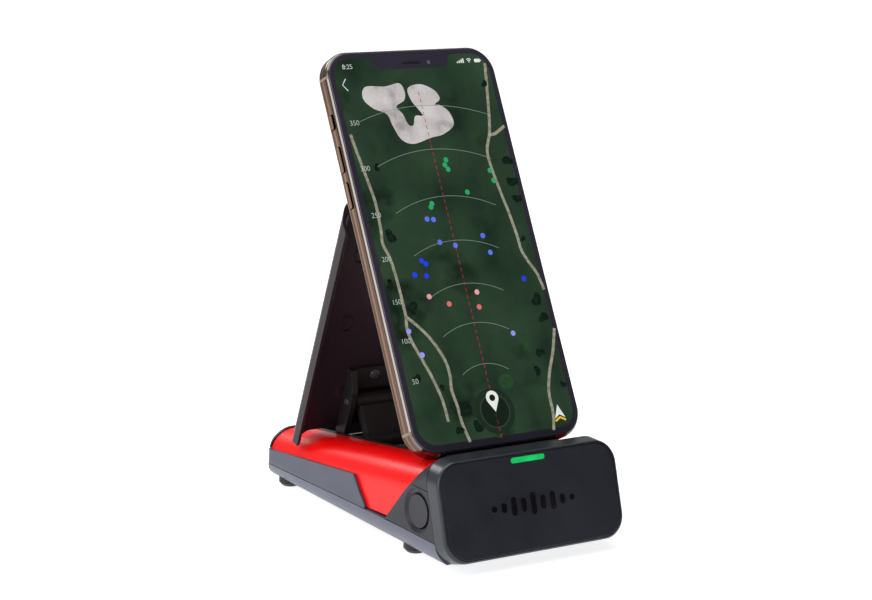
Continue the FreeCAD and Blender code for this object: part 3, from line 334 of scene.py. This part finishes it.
def make_finishes():
    """One material for each group of CAD nodes."""
    return {
        plastic("red_deck", (0.78, 0.0012, 0.0016), 0.30, 2200.0, 0.25, 0.04, shine=0.28): ["deck_cover"],
        plastic("slate_trim", (0.055, 0.061, 0.088), 0.40, 1800.0, 0.5, 0.06, shine=0.4): ["side_trim"],
        plastic("charcoal_pan", (0.082, 0.091, 0.128), 0.42, 1800.0, 0.5, 0.08): ["lower_pan"],
        # charcoal stand; its reddish tint is a painted reflection of the red deck
        plastic("stand_charcoal_painted_red_reflection", (0.0200, 0.0125, 0.0170), 0.30, 2400.0, 0.25, 0.08, shine=0.24): [
            "stand_cover"],
        plastic("face_matte", (0.0100, 0.0108, 0.0185), 0.44, 1500.0, 0.7, 0.10): ["face_plate"],
        plastic("nose_black", (0.0110, 0.0120, 0.0180), 0.34, 2400.0, 0.3, 0.08, shine=0.32): [
            "front_housing", "top_housing", "button_ring", "power_button"],
        plastic("bezel_black", (0.0150, 0.0165, 0.0240), 0.30, 2400.0, 0.3, 0.08): ["front_bezel"],
        plastic("satin_black", (0.0125, 0.0130, 0.0155), 0.40): ["rear_cap", "phone_cradle"],
        plastic("matt_black", (0.010, 0.0085, 0.0100), 0.50, relief=0.5): [
            "hinge_well", "strut", "stand_bracket"],
        plastic("chip_black", (0.02, 0.02, 0.022), 0.5): ["board_chips", "radio_module", "button_switch"],
        plastic("cream_connector", (0.72, 0.69, 0.6), 0.45): ["battery_plug", "status_leds"],
        plastic("acetal", (0.5, 0.5, 0.47), 0.4): ["slide_rollers"],
        plastic("antenna_plastic", (0.20, 0.15, 0.11), 0.4): ["phone_antenna_lines"],
        rubber("black_rubber", (0.014, 0.014, 0.015)): ["feet", "rest_pad", "cradle_pad"],
        rubber("foam_tape", (0.5, 0.5, 0.48)): ["battery_tape"],
        metal("plain_steel", (0.72, 0.72, 0.74), 0.26, (1.0, 30.0, 30.0)): [
            "strut_pin", "upper_pin", "slide_pin", "case_screws", "board_screws", "bracket_screws",
            "charging_socket", "shield_can", "phone_end_screws", "phone_port"],
        metal("gold_patch", (0.85, 0.62, 0.28), 0.25): ["radar_patches"],
        metal("lens_ring_gold", (0.70, 0.48, 0.36), 0.14, relief=0.02): ["phone_lens_rings"],
        polished_band_painted_reflections("phone_gold"): [
            "phone_frame", "phone_volume_up", "phone_volume_down", "phone_ring_switch", "phone_side_key"],
        board("circuit_board"): [
            "main_board", "button_board", "socket_board", "radar_board", "led_board", "phone_board"],
        gloss("screen_glass", (0.034, 0.030, 0.045), coat=0.0): ["phone_front_glass"],
        gloss("display_panel", (0.01, 0.03, 0.015)): ["phone_display"],
        gloss("phone_back", (0.55, 0.40, 0.31), 0.32): ["phone_back_glass", "phone_camera_island"],
        gloss("battery_foil", (0.10, 0.12, 0.17), 0.3): ["battery", "phone_battery"],
        lamp("green_light", (0.004, 0.46, 0.10), 0.75): ["light_pipe"],
    }


def dress_nodes():
    """Gives every CAD node its material."""
    for material, names in make_finishes().items():
        for name in names:
            data = nodes[name].data
            data.materials.clear()
            data.materials.append(material)


# ---------------------------------------------------------------- drawing on the screen

# places on the screen are in mm from PHONE_FOOT: x to the right, y up the glass
LAYER = 0.02                 # mm between drawn layers
FILM = 0.015                 # mm, thickness of one drawn layer
SCREEN = (-35.3, 35.3, 3.9, 154.4)       # left, right, bottom and top of the lit panel
SCREEN_ROUND = 7.6
CORNER_STEPS = 8
FONT_SIZE_FOR_FIGURE = 1.42  # font size for figures one unit high
STROKE_THINNING = 0.035      # mm taken off each side of a figure's strokes


def plates(outlines, low, thick, rim=0.0):
    """Closed plates of these outlines, in mm, with their front edges bevelled by rim."""
    mesh = bmesh.new()
    for points in outlines:
        ring = [mesh.verts.new((x * MM, y * MM, low * MM)) for x, y in points]
        grown = bmesh.ops.extrude_face_region(mesh, geom=[mesh.faces.new(ring)])
        moved = [item for item in grown["geom"] if isinstance(item, bmesh.types.BMVert)]
        bmesh.ops.translate(mesh, verts=moved, vec=(0.0, 0.0, thick * MM))
        if rim:
            front = [item for item in grown["geom"] if isinstance(item, bmesh.types.BMEdge)]
            bmesh.ops.bevel(mesh, geom=front, offset=rim * MM, segments=2, profile=0.6, affect="EDGES")
    bmesh.ops.triangulate(mesh, faces=[face for face in mesh.faces if len(face.verts) > 4])
    bmesh.ops.recalc_face_normals(mesh, faces=mesh.faces)
    return mesh


def flat_piece(name, outlines, layer, material):
    """Thin plates of these outlines (mm on the screen), as one piece on the phone."""
    mesh = plates(outlines, layer * LAYER - FILM, FILM)
    finish_piece(name, mesh, material)


def finish_piece(name, mesh, material, body="phone", place=PHONE_PLACE):
    """Turns a bmesh built in a local frame into a piece that rides on a body."""
    mesh.transform(place)
    data = bpy.data.meshes.new(name)
    mesh.to_mesh(data)
    mesh.free()
    data.materials.append(material)
    piece = bpy.data.objects.new(name, data)
    scene.collection.objects.link(piece)
    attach(piece, body)


def circle(x, y, radius, count=28):
    """Outline of a circle."""
    steps = [2 * math.pi * i / count for i in range(count)]
    return [(x + radius * math.cos(a), y + radius * math.sin(a)) for a in steps]


def smooth(points, closed=True, steps=8):
    """Catmull-Rom curve through a few points."""
    count = len(points)
    out = []
    spans = count if closed else count - 1
    for i in range(spans):
        p = []
        for k in (-1, 0, 1, 2):
            j = (i + k) % count if closed else min(max(i + k, 0), count - 1)
            p.append(Vector(points[j]))
        for step in range(steps):
            t = step / steps
            a = 2 * p[1] + (p[2] - p[0]) * t
            b = (2 * p[0] - 5 * p[1] + 4 * p[2] - p[3]) * t * t
            c = (3 * p[1] - p[0] - 3 * p[2] + p[3]) * t ** 3
            out.append(tuple((a + b + c) / 2))
    if not closed:
        out.append(tuple(points[-1]))
    return out


def ribbon(points, width):
    """Outline of a line of constant width along some points."""
    left, right = [], []
    for i, point in enumerate(points):
        before = Vector(points[max(i - 1, 0)])
        after = Vector(points[min(i + 1, len(points) - 1)])
        along = (after - before).normalized()
        side = Vector((-along.y, along.x)) * width / 2
        left.append(tuple(Vector(point) + side))
        right.append(tuple(Vector(point) - side))
    return left + right[::-1]


def rounded(low_x, high_x, low_y, high_y, radius, steps=CORNER_STEPS):
    """Rounded rectangle outline."""
    out = []
    corners = ((high_x, high_y, 0), (low_x, high_y, 1), (low_x, low_y, 2), (high_x, low_y, 3))
    for x, y, quarter in corners:
        cx = x - radius if x == high_x else x + radius
        cy = y - radius if y == high_y else y + radius
        for i in range(steps + 1):
            a = math.pi / 2 * (quarter + i / steps)
            out.append((cx + radius * math.cos(a), cy + radius * math.sin(a)))
    return out


def lettering(name, words, x, y, height, layer, material):
    """A few figures drawn as thin solid shapes, centred on x and standing on y."""
    curve = bpy.data.curves.new(name, "FONT")
    curve.body = words
    curve.size = height * FONT_SIZE_FOR_FIGURE * MM
    curve.align_x = "CENTER"
    curve.extrude = FILM * MM / 2
    curve.offset = -STROKE_THINNING * MM
    holder = bpy.data.objects.new(name + "_curve", curve)
    scene.collection.objects.link(holder)
    graph = bpy.context.evaluated_depsgraph_get()
    data = bpy.data.meshes.new_from_object(holder.evaluated_get(graph))
    mesh = bmesh.new()
    mesh.from_mesh(data)
    bpy.data.objects.remove(holder)
    bpy.data.curves.remove(curve)
    bpy.data.meshes.remove(data)
    mesh.transform(Matrix.Translation(Vector((x, y, layer * LAYER - FILM / 2)) * MM))
    finish_piece(name, mesh, material)


NOTCH_HALF = 17.0            # half its width at the top edge
NOTCH_FLOOR = 149.4


def screen_outline():
    """Rounded screen with a sensor notch in its top edge."""
    low_x, high_x, low_y, high_y = SCREEN
    corners = rounded(low_x, high_x, low_y, high_y, SCREEN_ROUND)
    upper_right = corners[:CORNER_STEPS + 1]
    others = corners[CORNER_STEPS + 1:]
    notch = [
        (NOTCH_HALF + 2.0, high_y), (NOTCH_HALF + 0.6, high_y - 0.6), (NOTCH_HALF, high_y - 2.0),
        (NOTCH_HALF - 0.4, NOTCH_FLOOR + 1.4), (NOTCH_HALF - 1.4, NOTCH_FLOOR + 0.4),
        (NOTCH_HALF - 3.0, NOTCH_FLOOR),
    ]
    mirrored = [(-x, y) for x, y in notch[::-1]]
    return upper_right + notch + mirrored + others


# layers of the drawing, counted outwards from the display
TURF_LAYER = 1
NOTCH_LAYER = 2
TRACK_LAYER = 2              # the first track; each further one lies one layer higher
LAWN_LAYER = 7
CLUMP_LAYER = 8
STATUS_LAYER = 8
SAND_LAYER = 9
RING_LAYER = 9
LINE_LAYER = 10
AIM_LAYER = 11
SHOT_LAYER = 12
PIN_LAYER = 13

TRACK_WIDTH = 1.25
ARC_WIDTH = 0.20
FIGURE_HEIGHT = 2.0
FIGURE_MIDDLE = -31.6        # x of the distances beside the rings
FIGURE_DROP = 0.9            # from the middle of a numeral down to its foot
SHOT_RADIUS = 1.05
DASH_FIRST = 3.2
DASH_PITCH = 2.7
DASH_LENGTH = 1.5
DASH_HALF = 0.13             # half the width of the aim line
DASH_COUNT = 51
DASH_GAP = (12.0, 22.0)      # no dashes start in the position ring

RANGE_RINGS = [
    # label, height of its numeral, half width of its arc, height of the arc's top, rise of the arc
    ("350", 128.8, 29.8, 134.2, 5.2), ("300", 110.8, 26.0, 116.6, 5.4), ("250", 92.5, 22.8, 97.8, 5.2),
    ("200", 75.4, 19.4, 80.2, 4.6), ("150", 58.8, 16.8, 63.2, 4.2), ("100", 43.8, 15.0, 47.8, 4.0),
    ("50", 28.4, 10.5, 31.8, 3.2),
]
DOTS = {
    # colour of the shots, and where each one stopped
    "green": ((0.03, 0.36, 0.13), [
        (5.0, 112.0), (4.0, 110.0), (5.0, 108.2), (24.0, 106.5), (24.6, 102.4), (11.2, 98.6), (-6.0, 95.2),
        (-6.8, 93.9)]),
    "soft_blue": ((0.10, 0.18, 0.80), [
        (-9.8, 89.4), (-7.0, 89.0), (-6.6, 80.0), (0.0, 78.2), (13.4, 81.0), (15.0, 74.2)]),
    "blue": ((0.015, 0.05, 0.80), [(-16.6, 73.6), (-15.0, 72.2), (-21.0, 68.4), (-16.0, 67.6), (27.4, 62.6)]),
    "lilac": ((0.30, 0.30, 0.85), [(-29.4, 47.4), (-26.0, 38.0), (16.4, 42.0)]),
    "pink": ((0.75, 0.36, 0.36), [(-17.0, 59.6), (4.6, 59.4)]),
    "coral": ((0.70, 0.16, 0.15), [(-9.0, 56.0), (4.0, 53.6)]),
}
SAND = [(-25.4, 138.4), (-23.2, 142.8), (-14.6, 142.6), (-8.0, 143.6), (-6.2, 140.6), (-7.2, 136.8),
        (-11.4, 134.4), (-9.4, 131.2), (-8.0, 127.0), (-5.8, 126.6), (-4.0, 130.2), (-0.6, 130.2),
        (-2.0, 133.0), (-4.2, 136.6), (-4.4, 141.4), (1.6, 142.8), (7.2, 140.2), (9.0, 136.6),
        (6.2, 134.4), (8.8, 133.8), (12.0, 130.6), (12.4, 125.6), (6.6, 122.2), (1.0, 121.2),
        (-7.6, 119.2), (-12.6, 121.2), (-15.0, 126.6), (-16.6, 131.6), (-22.0, 134.2)]
LEFT_TRACK = [(-34.4, 124.5), (-33.4, 117.0), (-31.6, 105.5), (-30.6, 97.0), (-31.0, 87.0), (-31.6, 81.5),
              (-30.0, 76.0), (-29.2, 68.0), (-29.0, 60.0), (-29.0, 53.0)]
LEFT_TRACK_NEAR = [(-29.0, 53.0), (-29.8, 47.5), (-28.5, 42.0), (-26.5, 36.5), (-24.0, 29.5), (-22.2, 22.5),
                   (-21.6, 18.0), (-21.4, 12.0)]
LEFT_TRACK_FAR = [(-29.0, 53.0), (-24.0, 48.0), (-20.0, 42.5), (-16.8, 35.5), (-16.0, 29.5), (-16.8, 23.5),
                  (-16.0, 17.5), (-15.6, 10.5), (-14.0, 3.4)]
RIGHT_TRACK = [(34.0, 150.0), (31.6, 137.0), (28.6, 123.0), (25.2, 115.0), (25.0, 108.5), (26.4, 98.5),
               (28.0, 89.5), (29.2, 80.0), (29.6, 74.0), (31.6, 69.0), (34.2, 64.0), (35.6, 57.5)]
RIGHT_SPUR = [(27.8, 121.0), (30.6, 121.2), (35.9, 124.0)]
RIGHT_TRACK_END = [(35.9, 42.0), (32.5, 33.0), (29.0, 26.0), (26.2, 18.0), (25.8, 10.0), (24.2, 3.2)]
TRACKS = [LEFT_TRACK, LEFT_TRACK_NEAR, LEFT_TRACK_FAR, RIGHT_TRACK, RIGHT_SPUR, RIGHT_TRACK_END]
BUSHES = [
    # dark clumps of trees beside the tracks: place and mean reach
    (-27.5, 84.0, 2.3), (-25.4, 56.0, 2.3), (-12.6, 15.6, 2.6), (-17.4, 8.2, 1.6), (-9.0, 8.6, 2.1),
    (33.0, 101.4, 2.2), (33.4, 94.5, 1.8), (33.2, 110.0, 2.0), (31.0, 54.0, 2.3), (32.2, 46.8, 2.0),
    (26.5, 33.4, 1.8), (23.4, 26.4, 1.6), (-32.6, 65.6, 1.7), (-30.6, 29.4, 1.7), (31.4, 141.6, 1.3),
    (33.6, 20.0, 1.3), (-26.4, 111.0, 1.3), (-20.6, 25.0, 1.1), (31.6, 78.4, 1.1),
]
MOWN_GREENS = [(-0.8, 5.6, 2.3), (20.5, 36.0, 2.4), (8.0, 24.0, 3.2)]     # place and mean reach


def crown(x, y, radius, lobe, ragged, count=48):
    """Uneven outline of a clump of trees or a lawn from above; its place varies its shape."""
    out = []
    for a in [2 * math.pi * i / count for i in range(count)]:
        lobes = lobe * math.sin(2 * a + x) + 0.6 * lobe * math.sin(3 * a + y)
        reach = 1 + lobes + ragged * math.sin(11 * a + x * y)
        out.append((x + radius * reach * math.cos(a), y + radius * reach * math.sin(a)))
    return out


def arc_points(reach, top, rise, count=33):
    """Points along an arc that is symmetrical about the aim line."""
    radius = (reach * reach + rise * rise) / (2 * rise)
    half_turn = math.asin(reach / radius)
    turns = [half_turn * (2 * i / (count - 1) - 1) for i in range(count)]
    return [(radius * math.sin(a), top - radius * (1 - math.cos(a))) for a in turns]


def draw_map():
    """Range map: turf, sand, tracks, distance rings, shots and the aim line."""
    flat_piece("screen_turf_sheet", [screen_outline()], TURF_LAYER, turf())
    track = lit("screen_track", (0.270, 0.260, 0.195), 0.35, 700.0)
    for i, points in enumerate(TRACKS):
        path = ribbon(smooth(points, False), TRACK_WIDTH)
        flat_piece("screen_track_%d" % (i + 1), [path], TRACK_LAYER + i, track)
    flat_piece("screen_bushes", [crown(*place, 0.22, 0.08) for place in BUSHES], CLUMP_LAYER,
               lit("screen_bush", (0.0050, 0.0125, 0.0075), 0.75, 900.0))
    flat_piece("screen_greens", [crown(*place, 0.05, 0.0) for place in MOWN_GREENS], LAWN_LAYER,
               lit("screen_green_lawn", (0.018, 0.052, 0.020), 0.35))
    flat_piece("screen_sand_pit", [smooth(SAND)], SAND_LAYER, sand_from_above())
    arcs = [ribbon(arc_points(reach, top, rise), ARC_WIDTH) for _, _, reach, top, rise in RANGE_RINGS]
    flat_piece("screen_range_arcs", arcs, LINE_LAYER, lit("screen_line", (0.20, 0.25, 0.20)))
    figures = lit("screen_figures", (0.50, 0.53, 0.50))
    for label, height, *_ in RANGE_RINGS:
        lettering("screen_range_" + label, label, FIGURE_MIDDLE, height - FIGURE_DROP, FIGURE_HEIGHT,
                  LINE_LAYER, figures)
    dashes = []
    for low in [DASH_FIRST + DASH_PITCH * i for i in range(DASH_COUNT)]:
        if not DASH_GAP[0] < low < DASH_GAP[1]:
            high = low + DASH_LENGTH
            dashes.append([(-DASH_HALF, low), (DASH_HALF, low), (DASH_HALF, high), (-DASH_HALF, high)])
    flat_piece("screen_aim_line", dashes, AIM_LAYER, lit("screen_red", (0.42, 0.012, 0.022)))
    for colour, (value, places) in DOTS.items():
        flat_piece("screen_shots_" + colour, [circle(x, y, SHOT_RADIUS) for x, y in places], SHOT_LAYER,
                   lit("screen_" + colour, value))
    white = lit("screen_white", (0.78, 0.80, 0.78))
    draw_marker(white)
    draw_status(white)
    draw_notch()


RING_MIDDLE = (0.0, 13.6)
PIN_TIP = (0.2, 13.2)
PIN_HEAD = (0.0, 18.6)
PIN_RADIUS = 2.75
PIN_EYE = 1.3
PIN_ROUND = (-28, 236)       # degrees: start and sweep of the head's round part
ARROW = [(28.4, 12.6), (26.0, 7.4), (28.4, 8.8), (30.8, 7.4)]
ARROW_BASE = [(26.0, 6.4), (28.4, 7.7), (30.8, 6.4)]


def draw_marker(white):
    """Position pin in two rings, and the heading arrow."""
    shadow = lit("screen_ring_dark", (0.006, 0.014, 0.008))
    rings = (("outer", 8.8, lit("screen_ring_soft", (0.012, 0.024, 0.014))),
             ("rim", 6.5, lit("screen_ring_rim", (0.040, 0.062, 0.045))), ("inner", 6.2, shadow))
    for i, (name, radius, material) in enumerate(rings):
        flat_piece("screen_ring_" + name, [circle(*RING_MIDDLE, radius, 56)], RING_LAYER + i, material)
    turns = [math.radians(PIN_ROUND[0] + PIN_ROUND[1] * i / 24) for i in range(25)]
    head = [(PIN_HEAD[0] + PIN_RADIUS * math.cos(a), PIN_HEAD[1] + PIN_RADIUS * math.sin(a)) for a in turns]
    flat_piece("screen_pin", [head + [PIN_TIP]], PIN_LAYER, white)
    flat_piece("screen_pin_eye", [circle(*PIN_HEAD, PIN_EYE)], PIN_LAYER + 1, shadow)
    flat_piece("screen_arrow", [ARROW], PIN_LAYER, white)
    flat_piece("screen_arrow_base", [ribbon(ARROW_BASE, 0.8)], PIN_LAYER - 1,
               lit("screen_yellow", (0.80, 0.50, 0.02)))


STATUS_FOOT = 150.6          # bottom of the marks beside the notch
CLOCK = (-29.0, 150.2)
SIGNAL_LEFT = 21.0
SIGNAL_PITCH = 0.9
SIGNAL_WIDTH = 0.6
FAN_FOOT = (26.7, 150.7)
FAN_HALF = 42.0              # degrees each side of upright
BACK_ARROW = [(-31.0, 146.4), (-32.9, 144.0), (-31.0, 141.6)]


def draw_status(white):
    """Plain clock, signal bars, wireless fan, battery and back arrow."""
    lettering("screen_clock", "8:25", *CLOCK, 1.9, STATUS_LAYER, white)
    bars = []
    for i in range(4):
        left = SIGNAL_LEFT + SIGNAL_PITCH * i
        right = left + SIGNAL_WIDTH
        top = STATUS_FOOT + 0.6 + 0.4 * i
        bars.append([(left, STATUS_FOOT), (right, STATUS_FOOT), (right, top), (left, top)])
    flat_piece("screen_signal_bars", bars, STATUS_LAYER, white)
    turns = [math.radians(FAN_HALF * (i / 4 - 1)) for i in range(9)]
    fan = [ribbon([(FAN_FOOT[0] + r * math.sin(a), FAN_FOOT[1] + r * math.cos(a)) for a in turns], 0.3)
           for r in (0.9, 1.5)]
    flat_piece("screen_wireless_fan", fan + [circle(26.7, 150.9, 0.26, 12)], STATUS_LAYER, white)
    battery = [rounded(29.2, 32.0, STATUS_FOOT, 152.0, 0.4, 4), rounded(32.2, 32.45, 151.0, 151.6, 0.1, 3)]
    flat_piece("screen_battery_mark", battery, STATUS_LAYER, white)
    flat_piece("screen_back_arrow", [ribbon(BACK_ARROW, 0.32)], STATUS_LAYER, white)


def draw_notch():
    """Speaker slot and front camera in the notch; the camera's pale bluish colour is a painted glint."""
    grille = plastic("speaker_grille", (0.006, 0.006, 0.008), 0.5, 6000.0, 1.0)
    slot = rounded(-4.1, 4.1, 151.2, 152.1, 0.42, 5)
    flat_piece("phone_speaker_slot", [slot], NOTCH_LAYER, grille)
    # the pale bluish grey of the front lens is a painted glint
    lens = gloss("front_lens_painted_glint", (0.10, 0.11, 0.16), 0.03)
    flat_piece("phone_front_lens", [circle(8.0, 151.6, 0.8)], NOTCH_LAYER, lens)


REAR_LENS_X = 25.0


def make_rear_lenses():
    """Domed glass in each camera ring and a small flash between them."""
    glass = gloss("rear_lens_glass", (0.006, 0.008, 0.02), 0.03)
    pearl = gloss("flash_pearl", (0.75, 0.72, 0.62), 0.15)
    # name, height up the phone, radius, rise of the dome, distance behind the phone's back, material
    for name, y, radius, rise, behind, material in (
            ("rear_lens_upper", 142.0, 4.0, 0.5, 0.95, glass),
            ("rear_lens_lower", 126.0, 4.0, 0.5, 0.95, glass),
            ("rear_flash", 134.0, 1.7, 0.12, 1.2, pearl)):
        mesh = bmesh.new()
        bmesh.ops.create_uvsphere(mesh, u_segments=40, v_segments=20, radius=1.0)
        squash = Matrix.Diagonal(Vector((radius * MM, radius * MM, rise * MM))).to_4x4()
        middle = Vector((REAR_LENS_X, y, -PHONE_THICK - behind)) * MM
        mesh.transform(Matrix.Translation(middle) @ squash)
        for face in mesh.faces:
            face.smooth = True
        finish_piece(name, mesh, material)


# ---------------------------------------------------------------- emblem on the face plate

FACE_FOOT = Vector((0.0, -65.0, 6.0)) * MM       # middle of the face plate's lower edge
FACE_PLACE = leaning_plane(FACE_FOOT, math.radians(18.0))
BAR_HEIGHTS = (8.4, 5.4, 7.0, 3.8, 2.4)          # mm, from the middle bar outwards
BAR_PITCH = 4.4
BAR_WIDTH = 2.2
EMBLEM_MIDDLE = 16.6                             # mm up the face plate
EMBLEM_RELIEF = 0.22
EMBLEM_ROOT = 0.05                               # mm sunk into the face plate
EMBLEM_RIM = 0.07
BAR_ROUND = BAR_WIDTH / 2 - 0.01                 # leaves a hair of flat at each end


def make_emblem():
    """Plain row of raised bars, like a level meter, on the face plate."""
    bars = []
    side = BAR_WIDTH / 2
    for i in range(1 - len(BAR_HEIGHTS), len(BAR_HEIGHTS)):
        middle = i * BAR_PITCH
        half = BAR_HEIGHTS[abs(i)] / 2
        bars.append(rounded(middle - side, middle + side, EMBLEM_MIDDLE - half, EMBLEM_MIDDLE + half,
                            BAR_ROUND, 6))
    mesh = plates(bars, -EMBLEM_ROOT, EMBLEM_ROOT + EMBLEM_RELIEF, EMBLEM_RIM)
    material = gloss("emblem_black", (0.004, 0.004, 0.006), 0.16, coat=0.3)
    finish_piece("face_emblem", mesh, material, "base", FACE_PLACE)


# ---------------------------------------------------------------- studio

WHITE = (1.0, 1.0, 1.0, 1.0)
FLOOR_HALF = 6.0                     # m
FLOOR_GLOW = 0.80                    # keeps the floor as white as the background
DARK_SIDE = (0.58, -0.66, 0.47)      # unit direction from the object to the dark part of the room
DARK_EDGE = (0.30, 0.92)             # cosines where the room starts to darken and is darkest
ROOM_BRIGHT = 0.55
ROOM_DARK = 0.02
AIM = (0.0, 0.0, 0.06)               # m, the point that the lights face


def make_floor():
    """White floor that takes only a faint contact shadow."""
    shade = Shade("studio_floor")
    stops = [(0.3, (0.60, 0.60, 0.60)), (0.7, (0.62, 0.62, 0.62))]
    shade.drive("Base Color", shade.ramp(shade.noise(3.0, 2.0), stops))
    shade.set(Roughness=0.8, Specular_IOR_Level=0.0, Emission_Color=WHITE, Emission_Strength=FLOOR_GLOW)
    mesh = bmesh.new()
    bmesh.ops.create_grid(mesh, x_segments=1, y_segments=1, size=FLOOR_HALF)
    data = bpy.data.meshes.new("studio_floor")
    mesh.to_mesh(data)
    mesh.free()
    data.materials.append(shade.material)
    floor = bpy.data.objects.new("studio_floor", data)
    scene.collection.objects.link(floor)


def make_light(name, place, size, power):
    """Soft box of this size (m) and power (W), facing the object."""
    data = bpy.data.lights.new(name, "AREA")
    data.shape = "RECTANGLE"
    data.size, data.size_y = size
    data.energy = power
    light = bpy.data.objects.new(name, data)
    light.location = place
    light.rotation_euler = (Vector(AIM) - Vector(place)).to_track_quat("-Z", "Y").to_euler()
    scene.collection.objects.link(light)


def make_world():
    """White behind the object; towards the front right the room is dark, so the glass stays black."""
    world = bpy.data.worlds.new("studio")
    scene.world = world
    world.use_nodes = True
    tree = world.node_tree
    plain = tree.nodes["Background"]
    plain.inputs["Color"].default_value = WHITE
    plain.inputs["Strength"].default_value = 1.0
    room = tree.nodes.new("ShaderNodeBackground")
    direction = tree.nodes.new("ShaderNodeTexCoord")
    toward = tree.nodes.new("ShaderNodeVectorMath")
    toward.operation = "DOT_PRODUCT"
    toward.inputs[1].default_value = DARK_SIDE
    tree.links.new(direction.outputs["Generated"], toward.inputs[0])
    fade = tree.nodes.new("ShaderNodeMapRange")
    fade.interpolation_type = "SMOOTHSTEP"
    values = (*DARK_EDGE, ROOM_BRIGHT, ROOM_DARK)
    for socket, value in zip(("From Min", "From Max", "To Min", "To Max"), values):
        fade.inputs[socket].default_value = value
    tree.links.new(toward.outputs["Value"], fade.inputs["Value"])
    tree.links.new(fade.outputs["Result"], room.inputs["Strength"])
    seen = tree.nodes.new("ShaderNodeLightPath")
    choose = tree.nodes.new("ShaderNodeMixShader")
    tree.links.new(seen.outputs["Is Camera Ray"], choose.inputs["Fac"])
    tree.links.new(room.outputs["Background"], choose.inputs[1])
    tree.links.new(plain.outputs["Background"], choose.inputs[2])
    tree.links.new(choose.outputs["Shader"], tree.nodes["World Output"].inputs["Surface"])


def make_studio():
    """Floor, room and three soft boxes: above, on the left and behind."""
    make_floor()
    make_world()
    make_light("overhead", (-0.1, 0.25, 1.1), (1.2, 0.9), 9.0)
    make_light("left_box", (-1.0, -0.2, 0.5), (0.7, 0.9), 6.0)
    make_light("back_box", (-0.25, 1.0, 0.72), (0.5, 0.4), 4.0)
    scene.view_settings.view_transform = "Standard"


make_camera()
dress_nodes()
draw_map()
make_rear_lenses()
make_emblem()
make_studio()
